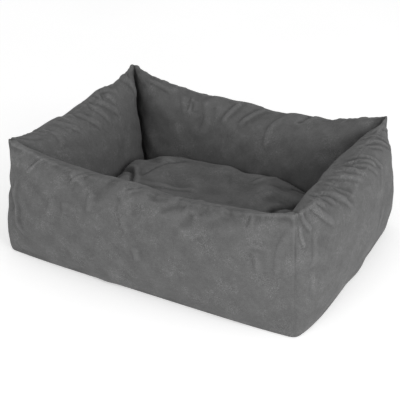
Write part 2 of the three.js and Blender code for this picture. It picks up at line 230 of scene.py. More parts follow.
def refine(grid, times):
    return refine_axis(refine_axis(grid, times, 0), times, 1)


# ---------------------------------------------------------------- cloth simulation
def simulate_cloth(name, points, faces, cut, goal, settings):
    """Runs Blender's cloth on a copy of the points and gives back where they end up.

    cut is the shape that the fabric was cut to, and goal says how firmly each point is held.
    """
    mesh = bpy.data.meshes.new(name)
    mesh.from_pydata(points.tolist(), [], faces.tolist())
    piece = bpy.data.objects.new(name, mesh)
    bpy.context.scene.collection.objects.link(piece)
    piece.shape_key_add(name="Basis")
    key = piece.shape_key_add(name="Cut")
    key.data.foreach_set("co", cut.astype(np.float32).ravel())
    group = piece.vertex_groups.new(name="held")
    levels = np.round(goal, 2)
    for level in np.unique(levels[levels > 0]):
        group.add(np.flatnonzero(levels == level).tolist(), float(level), "REPLACE")
    cloth = piece.modifiers.new("cloth", "CLOTH")
    s = cloth.settings
    s.quality = 6
    s.mass = 0.05
    s.tension_stiffness = s.compression_stiffness = settings["tension"]
    s.shear_stiffness = settings["shear"]
    s.bending_stiffness = settings["bending"]
    s.use_pressure = True
    s.uniform_pressure_force = settings["pressure"]
    s.vertex_group_mass = group.name
    s.rest_shape_key = key
    s.effector_weights.gravity = 0
    cloth.collision_settings.use_collision = False
    cloth.point_cache.frame_end = settings["frames"] + 1
    scene = bpy.context.scene
    for step in range(1, settings["frames"] + 1):
        scene.frame_set(step)
    done = piece.evaluated_get(bpy.context.evaluated_depsgraph_get()).data
    result = np.empty(len(points) * 3, np.float32)
    done.vertices.foreach_get("co", result)
    scene.frame_set(1)
    bpy.data.objects.remove(piece)
    bpy.data.meshes.remove(mesh)
    return result.reshape(-1, 3).astype(float)


def cap_movement(before, after, most):
    """Scales down each point's movement so that none goes further than most."""
    move = after - before
    size = np.linalg.norm(move, axis=-1, keepdims=True)
    return before + move * np.minimum(1, most / np.maximum(size, 1e-9))


# ---------------------------------------------------------------- sculpting
def smooth_path(path, steps=8):
    """More points on a smooth curve through a short given path."""
    points = np.array(path, float)
    if len(points) == 2:
        return points
    return refine_axis(points, steps, 0)


def path_distance(flat, path):
    """Signed distance of flat points from a path, positive on its left, and the share along it."""
    path = smooth_path(path)
    steps = np.diff(path, axis=0)
    lengths = np.linalg.norm(steps, axis=1)
    starts = np.concatenate([[0], np.cumsum(lengths)])
    best = np.full(flat.shape[:-1], np.inf)
    signed = np.zeros_like(best)
    share = np.zeros_like(best)
    for start, step, length, run in zip(path, steps, lengths, starts):
        away = flat - start
        t = np.clip(away @ step / length ** 2, 0, 1)
        off = away - t[..., None] * step
        distance = np.linalg.norm(off, axis=-1)
        side = np.sign(step[0] * away[..., 1] - step[1] * away[..., 0])
        nearer = distance < best
        best = np.where(nearer, distance, best)
        signed = np.where(nearer, distance * np.where(side == 0, 1, side), signed)
        share = np.where(nearer, (run + t * length) / starts[-1], share)
    return signed, share


def taper(share, start=0.25, end=0.25):
    """Fades a fold in and out along its length."""
    return smoothstep(0, start, share) * smoothstep(0, end, 1 - share)


def fold(flat, path, width, height, crease=0.6, start=0.25, end=0.25):
    """A raised fold along a path, with a sharper hollow on the path's right."""
    signed, share = path_distance(flat, path)
    ridge = np.exp(-((signed - 0.5 * width) / width) ** 2)
    hollow = np.exp(-np.abs(signed + 0.45 * width) / (0.5 * width))
    return height * (ridge - crease * hollow) * taper(share, start, end)


def crease_line(flat, path, width, depth, start=0.2, end=0.2):
    """A narrow valley along a path."""
    signed, share = path_distance(flat, path)
    return -depth * np.exp(-(np.abs(signed) / width) ** 1.3) * taper(share, start, end)


# ---------------------------------------------------------------- materials
class Finish:
    """A node material under construction: each method adds a node and gives back its output."""

    def __init__(self, name):
        self.material = bpy.data.materials.new(name)
        self.material.use_nodes = True
        self.nodes = self.material.node_tree.nodes
        self.links = self.material.node_tree.links
        self.shader = self.nodes["Principled BSDF"]

    def feed(self, socket, value):
        if isinstance(value, (int, float, tuple)):
            socket.default_value = value
        else:
            self.links.new(value, socket)

    def set(self, **values):
        for name, value in values.items():
            self.feed(self.shader.inputs[name.replace("_", " ")], value)

    def math(self, operation, *values):
        node = self.nodes.new("ShaderNodeMath")
        node.operation = operation
        for socket, value in zip(node.inputs, values):
            self.feed(socket, value)
        return node.outputs[0]

    def product(self, *values):
        total = values[0]
        for value in values[1:]:
            total = self.math("MULTIPLY", total, value)
        return total

    def attribute(self, name):
        node = self.nodes.new("ShaderNodeAttribute")
        node.attribute_name = name
        return node.outputs

    def place(self, scale=(1, 1, 1)):
        """Coordinates on the piece, stretched by scale."""
        node = self.nodes.new("ShaderNodeMapping")
        node.inputs["Scale"].default_value = scale
        self.links.new(self.nodes.new("ShaderNodeTexCoord").outputs["Object"], node.inputs["Vector"])
        return node.outputs[0]

    def split(self, vector):
        node = self.nodes.new("ShaderNodeSeparateXYZ")
        self.links.new(vector, node.inputs[0])
        return node.outputs

    def noise(self, place, scale, detail=3.0, roughness=0.55, distortion=0.0):
        node = self.nodes.new("ShaderNodeTexNoise")
        self.links.new(place, node.inputs["Vector"])
        values = {"Scale": scale, "Detail": detail, "Roughness": roughness, "Distortion": distortion}
        for name, value in values.items():
            node.inputs[name].default_value = value
        return node.outputs["Fac"]

    def ramp(self, value, low, high, out_low=0.0, out_high=1.0):
        """Carries a value from low..high to out_low..out_high, smoothly."""
        node = self.nodes.new("ShaderNodeMapRange")
        node.interpolation_type = "SMOOTHSTEP"
        limits = {"From Min": low, "From Max": high, "To Min": out_low, "To Max": out_high}
        for name, limit in limits.items():
            node.inputs[name].default_value = limit
        self.links.new(value, node.inputs["Value"])
        return node.outputs[0]

    def grey(self, tone, tint=(1.0, 1.0, 1.0)):
        """A colour of one brightness, slightly tinted, as the base colour."""
        node = self.nodes.new("ShaderNodeCombineColor")
        for socket, share in zip(node.inputs, tint):
            self.links.new(tone if share == 1.0 else self.product(tone, share), socket)
        self.links.new(node.outputs[0], self.shader.inputs["Base Color"])

    def bump(self, height, strength, distance):
        """Adds relief on top of what the shader's normal already has."""
        node = self.nodes.new("ShaderNodeBump")
        node.inputs["Strength"].default_value = strength
        node.inputs["Distance"].default_value = distance
        self.links.new(height, node.inputs["Height"])
        socket = self.shader.inputs["Normal"]
        if socket.is_linked:
            self.links.new(socket.links[0].from_socket, node.inputs["Normal"])
        self.links.new(node.outputs[0], socket)

    def weave(self, place, pitch):
        """The over and under of a plain weave, from 0 to 1."""
        parts = self.split(place)
        across, along = (self.math("SINE", self.product(part, 2 * math.pi / pitch)) for part in parts[:2])
        return self.math("MULTIPLY_ADD", self.product(across, along), 0.5, 0.5)


def canvas_material(name, shade, scuffs=0.75, wear_and_shade_lift=0.20):
    """Brushed cotton canvas: a fine weave under a mottled nap with chalky scuffs, ridges painted paler as
    rubbed wear and painted light, and hollows painted darker as painted shade.
    """
    f = Finish(name)
    place = f.attribute("cut")["Vector"]
    wear_and_shade = f.attribute("wear_and_shade")["Fac"]
    broad = f.ramp(f.noise(place, 9, 4, 0.6), 0.3, 0.7, 0.96, 1.04)
    fine = f.ramp(f.noise(place, 90, 5, 0.75), 0.25, 0.75, 0.89, 1.11)
    speck = f.ramp(f.noise(place, 420, 3, 0.7), 0.25, 0.75, 0.86, 1.14)
    # thin wandering scuffs where the nap is turned, in loose patches
    wander = f.noise(place, 100, 4, 0.65, 1.8)
    lines = f.ramp(f.math("ABSOLUTE", f.math("SUBTRACT", wander, 0.5)), 0.0, 0.026, 1.0, 0.0)
    patches = f.ramp(f.noise(place, 17, 3, 0.65), 0.46, 0.62)
    marks = f.math("MULTIPLY_ADD", f.product(lines, patches), scuffs, 1.0)
    # raised folds are painted paler, partly as rubbed wear and partly as painted light, and hollows are
    # painted darker as painted shade
    wear_and_shade_amount = f.math("MULTIPLY_ADD", wear_and_shade, wear_and_shade_lift, 1.0)
    f.grey(f.product(broad, fine, speck, marks, wear_and_shade_amount, shade))
    f.set(Roughness=f.ramp(f.noise(place, 120, 3), 0.3, 0.7, 0.86, 0.98), Specular_IOR_Level=0.2,
          Sheen_Weight=0.06, Sheen_Roughness=0.4)
    relief = f.math("MULTIPLY_ADD", f.weave(place, 0.0011), 0.5, f.noise(place, 700, 3, 0.7))
    f.bump(relief, 0.5, 0.0003)
    f.bump(f.noise(place, 160, 4, 0.6), 0.15, 0.001)
    return f.material


def underside_material():
    """Dark woven underside with a regular field of raised grip dots."""
    f = Finish("underside_grip_fabric")
    place = f.place()
    pitch = 0.009
    squares = []
    for part in f.split(place)[:2]:
        off = f.math("SUBTRACT", f.math("FRACT", f.product(part, 1 / pitch)), 0.5)
        squares.append(f.product(off, off))
    away = f.math("SQRT", f.math("ADD", *squares))
    dots = f.ramp(away, 0.16, 0.22, 1.0, 0.0)
    mottle = f.ramp(f.noise(place, 60, 4), 0.3, 0.7, 0.8, 1.2)
    f.grey(f.product(f.ramp(dots, 0, 1, 0.024, 0.006), mottle), (1.0, 1.0, 1.03))
    f.set(Roughness=f.ramp(dots, 0, 1, 0.92, 0.5))
    f.bump(f.math("MULTIPLY_ADD", f.weave(place, 0.0012), 0.15, dots), 0.7, 0.0007)
    return f.material


def fibre_material():
    """Loose white polyester filling."""
    f = Finish("polyester_filling")
    strands = f.noise(f.place(), 90, 8, 0.75, 2.0)
    f.grey(f.ramp(strands, 0.3, 0.7, 0.55, 0.86), (1.0, 0.99, 0.95))
    f.set(Roughness=0.95)
    f.bump(strands, 0.8, 0.002)
    return f.material


def tape_material():
    """Herringbone zip tape."""
    f = Finish("zip_tape_herringbone")
    x, _, z = f.split(f.place())
    slant = f.math("ADD", x, f.math("PINGPONG", z, 0.0012))
    twill = f.math("SINE", f.product(slant, 2 * math.pi / 0.0009))
    f.grey(f.ramp(twill, -1, 1, 0.035, 0.06))
    f.set(Roughness=0.85)
    f.bump(twill, 0.6, 0.0002)
    return f.material


def coil_material():
    """Dark nylon monofilament."""
    f = Finish("zip_coil_nylon")
    place = f.place()
    f.grey(f.ramp(f.noise(place, 300, 3), 0.3, 0.7, 0.018, 0.032))
    f.set(Roughness=f.ramp(f.noise(place, 500, 2), 0.3, 0.7, 0.32, 0.48))
    return f.material


def metal_material():
    """Brushed gunmetal of the zip's slider, pull tab and stops."""
    f = Finish("zip_gunmetal")
    brushed = f.noise(f.place((1, 8, 8)), 900, 4, 0.7)
    f.grey(f.ramp(brushed, 0.3, 0.7, 0.16, 0.24), (1.0, 1.0, 1.02))
    f.set(Metallic=1.0, Roughness=f.ramp(brushed, 0.3, 0.7, 0.28, 0.45))
    f.bump(brushed, 0.15, 0.0001)
    return f.material


def thread_material():
    """Twisted grey sewing thread."""
    f = Finish("sewing_thread")
    twist = f.noise(f.place((3, 1, 1)), 1500, 2)
    f.grey(f.ramp(twist, 0.3, 0.7, 0.07, 0.12))
    f.set(Roughness=0.75)
    f.bump(twist, 0.4, 0.0001)
    return f.material


CANVAS = canvas_material("brushed_grey_canvas", 0.107)
# the cushion's copy of the canvas is painted a little darker than the walls' copy as painted shade, and
# has fewer scuffs
SHADED_CUSHION_CANVAS = canvas_material("shaded_cushion_grey_canvas", 0.105, scuffs=0.65)
UNDERSIDE = underside_material()
FIBRE = fibre_material()
TAPE = tape_material()
COIL = coil_material()
METAL = metal_material()
THREAD = thread_material()


# ---------------------------------------------------------------- objects
def make_piece(name, points, faces, material, smooth=True):
    mesh = bpy.data.meshes.new(name)
    mesh.from_pydata(np.asarray(points).tolist(), [], [list(face) for face in faces])
    mesh.polygons.foreach_set("use_smooth", np.full(len(mesh.polygons), smooth))
    mesh.materials.append(material)
    mesh.update()
    piece = bpy.data.objects.new(name, mesh)
    bpy.context.scene.collection.objects.link(piece)
    return piece


def place_piece(piece, body, slot, *nodes):
    """Puts a piece on its body, in place of the CAD nodes it stands for."""
    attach(piece, body)
    if nodes:
        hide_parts(*nodes)


def set_attribute(piece, name, values):
    vector = values.ndim == 2
    attribute = piece.data.attributes.new(name, "FLOAT_VECTOR" if vector else "FLOAT", "POINT")
    attribute.data.foreach_set("vector" if vector else "value", values.astype(np.float32).ravel())


def blur(grid, times):
    for _ in range(times):
        padded = np.pad(grid, ((1, 1), (1, 1), (0, 0)), mode="edge")
        grid = (padded[:-2, 1:-1] + padded[2:, 1:-1] + padded[1:-1, :-2] + padded[1:-1, 2:]) / 4
    return grid


def relief_of(grid, times=8, full=0.0006):
    """How far each point stands out of its surroundings, from -1 in hollows to 1 on ridges."""
    out = ((grid - blur(grid, times)) * grid_normals(grid)).sum(-1)
    out[[0, -1]] = out[[1, -2]]
    out[:, [0, -1]] = out[:, [1, -2]]
    return np.clip(out / full, -1, 1)


def fabric_sheet(name, grid, cut, wear_and_shade, material, thickness):
    """A grid of points as a closed piece of cloth, with its thickness on the inner side."""
    rows, columns = grid.shape[:2]
    back = grid - grid_normals(grid) * thickness
    front_faces = grid_faces(rows, columns)
    number = np.arange(rows * columns).reshape(rows, columns)
    rim = np.concatenate([number[0, :-1], number[:-1, -1], number[-1, :0:-1], number[:0:-1, 0]])
    after = np.roll(rim, -1)
    total = rows * columns
    edges = np.stack([rim, rim + total, after + total, after], -1)
    faces = np.concatenate([front_faces, front_faces[:, ::-1] + total, edges])
    piece = make_piece(name, np.concatenate([grid, back]).reshape(-1, 3), faces, material)
    smooth = np.arange(len(faces)) < 2 * len(front_faces)
    piece.data.polygons.foreach_set("use_smooth", smooth)
    set_attribute(piece, "cut", np.concatenate([cut, cut]).reshape(-1, 3))
    # per-point relief that the canvas paints as shade in hollows and paler ridges, partly rubbed wear
    set_attribute(piece, "wear_and_shade", np.concatenate([wear_and_shade, wear_and_shade]).ravel())
    return piece


# ---------------------------------------------------------------- walls
SHEET_THICKNESS = 0.0014
CORNER_PINCH = (0.122, 0.0090, 0.020, 0.026)  # height, depth, and reach up and across
CALM_SHARE, CALM_LOW, CALM_HIGH, CALM_PASSES = 0.85, 0.60, 0.90, 12
CUT_UNEVENNESS = 0.008
LUMPS = 0.0022  # how far the stuffing's lumps push the fabric out
ROUNDING_PASSES = 10
CORNER_ROUNDING = 0.008  # how far from a corner seam the outer face is rounded


def round_outer_corners(ring, corners):
    """Rounds the outer corners of the ring, less and less up to the peaks."""
    rows, columns = ring.shape[:2]
    apart = np.full(columns, np.inf)
    for corner in corners:
        apart = np.minimum(apart, np.linalg.norm(ring[0] - ring[0, corner], axis=-1))
    near = np.exp(-(apart / CORNER_ROUNDING) ** 2)[None, :]
    low = 1 - smoothstep(0.72 * PEAK, 0.97 * PEAK, ring[..., 2])
    share = near * low * (np.arange(rows) < OUTER_ROWS)[:, None]
    for _ in range(ROUNDING_PASSES):
        between = (np.roll(ring, 1, 1) + np.roll(ring, -1, 1)) / 2
        ring = ring + 0.5 * share[..., None] * (between - ring)
    return ring


def pinch_corner(ring, corners):
    """Draws the front left corner seam in at one height, where the fabric is folded."""
    seam = ring[:, corners[0]]
    height, depth, tall, wide = CORNER_PINCH
    share = np.exp(-((seam[:, 2] - height) / tall) ** 2) * (np.arange(len(seam)) < OUTER_ROWS)
    away = np.linalg.norm(ring - seam[:, None], axis=-1)
    inwards = np.array([1.0, 1.0, 0.0]) / math.sqrt(2)
    return ring + (depth * share[:, None] * np.exp(-(away / wide) ** 2))[..., None] * inwards


def settle_walls(walls):
    """Swells the four walls together as slack cloth, seams held, and gives them back."""
    ring = np.concatenate([grid[:, :-1] for grid in walls], 1)
    counts = [grid.shape[1] - 1 for grid in walls]
    corners = np.concatenate([[0], np.cumsum(counts)[:-1]])
    rows, columns = ring.shape[:2]
    normals = np.concatenate([grid_normals(grid)[:, :-1] for grid in walls], 1)
    lumps = smooth_noise(ring, 0.16, 11) + 0.4 * smooth_noise(ring, 0.06, 12)
    inside = np.ones((rows, columns))
    inside[[0, -1]] = 0
    start = ring + normals * (LUMPS * lumps * inside)[..., None]
    cut = ring.copy()
    cut[..., :2] *= 1 + WALL_SLACK
    cut[..., 0] += CUT_UNEVENNESS * smooth_noise(ring, 0.12, 13)
    cut[..., 1] += CUT_UNEVENNESS * smooth_noise(ring, 0.12, 14)
    goal = np.full((rows, columns), 0.01)
    goal[:, corners] = 0.5
    goal[-6:] = 0.8
    goal[[0, -1]] = 1
    faces = grid_faces(rows, columns, closed=True)
    moved = simulate_cloth("walls", start.reshape(-1, 3), faces, cut.reshape(-1, 3),
                           goal.ravel(), WALL_CLOTH).reshape(ring.shape)
    move = cap_movement(start, moved, MOST_WALL_MOVE) - start
    # the lower faces are pulled smooth by the stuffing; the wrinkles stay near the crest
    calm = (CALM_SHARE * (1 - smoothstep(CALM_LOW * PEAK, CALM_HIGH * PEAK, ring[..., 2])))[..., None]
    start = start + lerp(move, blur(move, CALM_PASSES), calm)
    ring = pinch_corner(round_outer_corners(start, corners), corners)
    wide = np.concatenate([ring, ring[:, :1]], 1)
    return [wide[:, first:first + count + 1] for first, count in zip(corners, counts)]


def wall_flat(number):
    """Flat coordinates of a wall's fabric: metres along it and metres over the crest, outer side < 0."""
    _, wall, length, *_ = WALLS[number]
    along = refine_axis(stations(length) * length, FINER, 0)
    over = []
    for side, count in (("outer", OUTER_ROWS), ("inner", INNER_ROWS)):
        _, run = even_steps(wall, side, count)
        steps = np.linspace(0, run, count * FINER + 1)
        over.append(steps - run if side == "outer" else steps[1:])
    over = np.concatenate(over)
    return np.stack(np.broadcast_arrays(along[None, :], over[:, None]), -1)


# kind of fold, path of (metres along the wall, metres over the crest), width, height
WALL_FOLDS = {
    "front_wall": (
        (fold, ((0.008, -0.004), (0.022, -0.005), (0.042, -0.004)), 0.005, 0.0030),
        (fold, ((0.034, -0.055), (0.030, -0.120), (0.040, -0.180), (0.070, -0.215)), 0.009, 0.0080),
        (fold, ((0.300, -0.012), (0.330, -0.040), (0.345, -0.085)), 0.012, 0.0016),
        (fold, ((0.165, 0.000), (0.190, -0.020), (0.235, -0.030)), 0.009, 0.0018),
        (fold, ((0.700, -0.020), (0.672, -0.060), (0.664, -0.120)), 0.010, 0.0016),
    ),
    "right_wall": (
        (fold, ((0.012, 0.002), (0.024, -0.020), (0.050, -0.044)), 0.0055, 0.0042),
        (fold, ((0.006, -0.018), (0.012, -0.042), (0.026, -0.070)), 0.006, 0.0030),
        (fold, ((0.045, 0.018), (0.080, -0.024), (0.125, -0.066)), 0.008, 0.0038),
        (fold, ((0.108, 0.020), (0.150, -0.014), (0.190, -0.050)), 0.007, 0.0042),
        (fold, ((0.145, 0.004), (0.178, -0.034), (0.200, -0.070)), 0.007, 0.0030),
        (fold, ((0.200, 0.026), (0.232, -0.006), (0.262, -0.034)), 0.006, 0.0040),
        (fold, ((0.240, 0.022), (0.272, -0.011), (0.300, -0.045)), 0.008, 0.0036),
        (fold, ((0.300, 0.018), (0.333, -0.016), (0.352, -0.050)), 0.007, 0.0032),
        (fold, ((0.385, 0.016), (0.420, -0.004), (0.448, -0.036)), 0.008, 0.0034),
        (fold, ((0.486, 0.014), (0.510, -0.010), (0.520, -0.040)), 0.007, 0.0030),
    ),
    "back_wall": (
        (fold, ((0.390, -0.004), (0.408, 0.036), (0.428, 0.074)), 0.008, 0.0044),
        (fold, ((0.322, -0.006), (0.345, 0.028), (0.372, 0.070)), 0.009, 0.0050),
        (crease_line, ((0.200, -0.012), (0.196, 0.010), (0.200, 0.036)), 0.006, 0.0050),
        (fold, ((0.690, 0.026), (0.655, 0.024), (0.600, 0.034)), 0.008, 0.0028),
        (fold, ((0.250, 0.010), (0.270, 0.060), (0.262, 0.120)), 0.014, 0.0024),
        (fold, ((0.500, 0.020), (0.480, 0.070), (0.500, 0.120)), 0.016, 0.0020),
    ),
    "left_wall": (
        (crease_line, ((0.538, -0.040), (0.520, -0.100), (0.505, -0.160)), 0.030, 0.0110),
        (fold, ((0.082, 0.000), (0.058, 0.022), (0.032, 0.050), (0.022, 0.078)), 0.011, 0.0042),
        (fold, ((0.216, 0.010), (0.188, 0.044), (0.144, 0.084)), 0.010, 0.0036),
        (fold, ((0.238, 0.004), (0.232, 0.044), (0.205, 0.092)), 0.011, 0.0030),
        (fold, ((0.304, 0.000), (0.292, 0.040), (0.262, 0.090)), 0.012, 0.0036),
        (fold, ((0.175, -0.006), (0.148, 0.012), (0.112, 0.036)), 0.009, 0.0026),
        (fold, ((0.392, 0.000), (0.380, 0.034), (0.352, 0.066)), 0.012, 0.0030),
        (fold, ((0.520, -0.004), (0.505, 0.020), (0.470, 0.030)), 0.010, 0.0030),
    ),
}


# wall: number of wrinkles, how far they drift along it as they cross, and their strength
CREST_WRINKLES = {"front_wall": (5, -0.020, 0.5), "right_wall": (14, 0.044, 1.0),
                  "back_wall": (5, -0.016, 0.3), "left_wall": (8, -0.028, 0.5)}
WRINKLE_HEIGHTS = (0.0022, 0.0052)


def crest_wrinkles(number, flat, seed):
    """Short crisp wrinkles lying across the crest."""
    rng = np.random.default_rng(seed)
    name, _, length, *_ = WALLS[number]
    count, drift, strength = CREST_WRINKLES[name]
    total = np.zeros(flat.shape[:-1])
    low, high = WRINKLE_HEIGHTS
    for place in np.linspace(0.12, 0.88, count):
        along = (place + rng.uniform(-0.03, 0.03)) * length
        inner, outer = rng.uniform(0.006, 0.040), -rng.uniform(0.010, 0.070)
        run = drift * rng.uniform(0.5, 1.4)
        path = ((along, inner), (along + 0.35 * run, (inner + outer) / 2), (along + run, outer))
        total += fold(flat, path, rng.uniform(0.0040, 0.0066), rng.uniform(low, high), crease=0.9)
    # the seam along the crest is stiffer than the panels
    return strength * total * (1 - 0.65 * np.exp(-(flat[..., 1] / 0.006) ** 2))


def scattered_folds(number, flat, seed, count, high, low, shortest, longest):
    """Small random folds that run down from the crest, between two heights of over."""
    rng = np.random.default_rng(seed)
    length = WALLS[number][2]
    total = np.zeros(flat.shape[:-1])
    for _ in range(count):
        along = rng.uniform(0.06, 0.94) * length
        over = lerp(high, low, rng.uniform())
        reach = rng.uniform(shortest, longest) * (1 if low > 0 else -1)
        lean = rng.uniform(-0.5, 0.5) * abs(reach)
        path = [(along, over), (along + 0.4 * lean, over + 0.5 * reach), (along + lean, over + reach)]
        width = rng.uniform(0.007, 0.014)
        total += fold(flat, path, width, rng.uniform(0.0008, 0.0020))
    return total


# length, height and reach of each wave of the crest
CREST_WAVES = ((0.170, 0.0012, 0.050), (0.075, 0.0010, 0.030), (0.033, 0.0007, 0.012),
               (0.014, 0.0003, 0.008))
SEAM_RIDGE = 0.0012
SEAM_WIDTH = 0.006
EAR_RISE = 0.0018
EAR_PLACE, EAR_WIDTH, EAR_REACH = 0.012, 0.007, 0.010  # from the wall's end, along it, over the crest
CORNER_VALLEYS = (0.0015, 0.0003)  # depth on the long walls and on the short ones
VALLEY_PLACE, VALLEY_WIDTH = 0.0040, 0.0026
CORNER_GATHER, GATHER_REACH = 0.0003, 0.014
FIRM_REACH = 0.10  # how far down a corner seam stays firm


def crest_waves(flat, seed):
    """The uneven line of the crest: stuffing lumps, and small gathers where the panels meet."""
    along, over = flat[..., 0], flat[..., 1]
    rng = np.random.default_rng(seed)
    total = np.zeros_like(along)
    for wave, size, reach in CREST_WAVES:
        phase = rng.uniform(0, 2 * np.pi) + 2.0 * np.sin(along / 0.09 + rng.uniform(0, 6))
        total += size * np.sin(2 * np.pi * along / wave + phase) * np.exp(-(over / reach) ** 2)
    return total + SEAM_RIDGE * np.exp(-(over / SEAM_WIDTH) ** 2)


def ears(number, flat):
    """The blunt folded tips beside each peak, with a notch at the corner seam between them."""
    along, over = flat[..., 0], flat[..., 1]
    from_end = np.minimum(along, WALLS[number][2] - along)
    beside = np.exp(-((from_end - EAR_PLACE) / EAR_WIDTH) ** 2)
    return EAR_RISE * beside * np.exp(-(over / EAR_REACH) ** 2)


def corner_seams(number, flat):
    """The upright corner seams: a shallow line with a few soft gathers, firmer near the peak."""
    length = WALLS[number][2]
    along, over = flat[..., 0], flat[..., 1]
    total = np.zeros_like(along)
    firm = 0.15 + 0.85 * np.exp(-(over / FIRM_REACH) ** 2)
    valley = CORNER_VALLEYS[number % 2]
    for place, shift in ((0, 0.0), (length, 1.7)):
        off = np.abs(along - place)
        gathers = np.sin(over / 0.0071 + shift + number) + np.sin(over / 0.0113 + 2 * shift + number)
        total += CORNER_GATHER * gathers * np.exp(-(off / GATHER_REACH) ** 2) * firm
        total -= valley * np.exp(-((off - VALLEY_PLACE) / VALLEY_WIDTH) ** 2) * firm
    return total


def sculpt_wall(number, grid):
    """Adds a wall's folds, gathers and seam lines. Its seams with other pieces stay where they are."""
    name = WALLS[number][0]
    flat = wall_flat(number)
    height = crest_waves(flat, 20 + number) + ears(number, flat) + corner_seams(number, flat)
    height += scattered_folds(number, flat, 30 + number, 6, -0.020, -0.14, 0.030, 0.080)
    height += scattered_folds(number, flat, 40 + number, 4, 0.004, 0.035, 0.030, 0.060)
    height += crest_wrinkles(number, flat, 50 + number)
    for kind, path, width, size in WALL_FOLDS[name]:
        height += kind(flat, path, width, size)
    along = flat[..., 0]
    from_end = np.minimum(along, WALLS[number][2] - along)
    height *= smoothstep(0, 0.004, from_end) * 0.999 + 0.001
    height[[0, -1]] = 0
    return grid + grid_normals(grid) * height[..., None], flat


def curl_foot(grid, flat, inwards):
    """Turns the foot of an outer panel under, towards the underside's seam."""
    foot, inward = grid[0], np.array([*inwards, 0.0])
    under = [foot + inward * 0.0022, foot + inward * 0.0006]
    for row, height in zip(under, (0.0006, 0.0014)):
        row[:, 2] = height
    flat_rows = [flat[0] - (0, 0.0045), flat[0] - (0, 0.0020)]
    return np.concatenate([np.array(under), grid]), np.concatenate([np.array(flat_rows), flat])


FILL_INSET = 0.006
FILL_SHORT_ROWS = 5  # cloth steps left empty under the crest
FILL_SHORT_COLUMNS = 6  # cloth steps left empty at each end


def wall_fill(name, grid):
    """The loose filling of a wall, a little smaller than its fabric and short of its crest."""
    crest = OUTER_ROWS * FINER
    short = FILL_SHORT_ROWS * FINER
    small = grid - grid_normals(grid) * FILL_INSET
    rows = [row for row in range(0, len(grid), FINER) if abs(row - crest) >= short]
    end = FILL_SHORT_COLUMNS * FINER
    small = small[rows][:, end:-end:FINER]
    rows, columns = small.shape[:2]
    small = small.transpose(1, 0, 2)
    faces = [face[::-1] for face in capped_faces(columns, rows)]
    return make_piece(name, small.reshape(-1, 3), faces, FIBRE)


def build_walls():
    coarse = settle_walls([wall_surface(number) for number in range(len(WALLS))])
    surfaces = []
    for number, row in enumerate(WALLS):
        name = row[0]
        grid, flat = sculpt_wall(number, refine(coarse[number], FINER))
        surfaces.append(grid)
        crest = OUTER_ROWS * FINER
        # painted shade in the wall's hollows and paler ridges, partly rubbed wear and partly painted
        # light, from its relief
        wear_and_shade = relief_of(grid)
        outer, outer_flat = curl_foot(grid[:crest + 1], flat[:crest + 1], row[5])
        outer_wear_and_shade = np.concatenate([wear_and_shade[:1], wear_and_shade[:1], wear_and_shade[:crest + 1]])
        sides = (("outer", outer, outer_flat, outer_wear_and_shade),
                 ("inner", grid[crest:], flat[crest:], wear_and_shade[crest:]))
        for side, points, cut, wear_and_shade_amount in sides:
            offset = np.full(cut.shape[:-1] + (1,), 0.37 * (2 * number + (side == "inner")))
            panel = fabric_sheet(f"{name}_{side}_canvas", points, np.concatenate([cut, offset], -1),
                                 wear_and_shade_amount, CANVAS, SHEET_THICKNESS)
            place_piece(panel, "bed_shell", "grey_canvas", f"{name}_{side}_panel")
        fill = wall_fill(f"{name}_filling", grid)
        place_piece(fill, "bed_shell", "polyester_fibre", f"{name}_fibre_fill")
    return surfaces


# ---------------------------------------------------------------- base
def outline_slab(name, outline, profile, material):
    """A flat piece: an outline drawn in by each (inset, height) of its edge profile, then closed."""
    tangent = np.roll(outline, -1, 0) - np.roll(outline, 1, 0)
    outward = np.stack([tangent[:, 1], -tangent[:, 0]], -1)
    outward /= np.linalg.norm(outward, axis=-1, keepdims=True)
    middle_shares = (0.9, 0.45, 0.1)
    bottom_inset, bottom = profile[0]
    top_inset, top = profile[-1]
    rings = [np.column_stack([(outline - outward * bottom_inset) * share, np.full(len(outline), bottom)])
             for share in reversed(middle_shares)]
    rings += [np.column_stack([outline - outward * inset, np.full(len(outline), height)])
              for inset, height in profile]
    rings += [np.column_stack([(outline - outward * top_inset) * share, np.full(len(outline), top)])
              for share in middle_shares]
    points = np.array(rings)
    return make_piece(name, points.reshape(-1, 3), capped_faces(len(rings), len(outline)), material)


def build_underside(surfaces):
    foot = np.concatenate([grid[0, :-1] for grid in surfaces])[:, :2]
    profile = ((0.0045, 0.0), (0.0030, 0.0003), (0.0026, 0.0012), (0.0030, UNDERSIDE_TOP - 0.0003),
               (0.0045, UNDERSIDE_TOP))
    panel = outline_slab("underside_panel", foot, profile, UNDERSIDE)
    place_piece(panel, "bed_shell", "underside_fabric", "base_bottom_panel")


def soft_rectangle(node, corner, steps):
    """A rounded rectangle's outline round a node's box, anticlockwise."""
    low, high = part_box(node)
    middles = ((high.x - corner, high.y - corner), (low.x + corner, high.y - corner),
               (low.x + corner, low.y + corner), (high.x - corner, low.y + corner))
    outline = []
    for quarter, (x, y) in enumerate(middles):
        for step in range(steps + 1):
            angle = (quarter + step / steps) * math.pi / 2
            outline.append((x + corner * math.cos(angle), y + corner * math.sin(angle)))
    return np.array(outline)


BASE_CORNER = 0.045
LINING_CORNER_POWER = 16
LINING_TUCK = 0.010  # how far the lining turns down at its edge


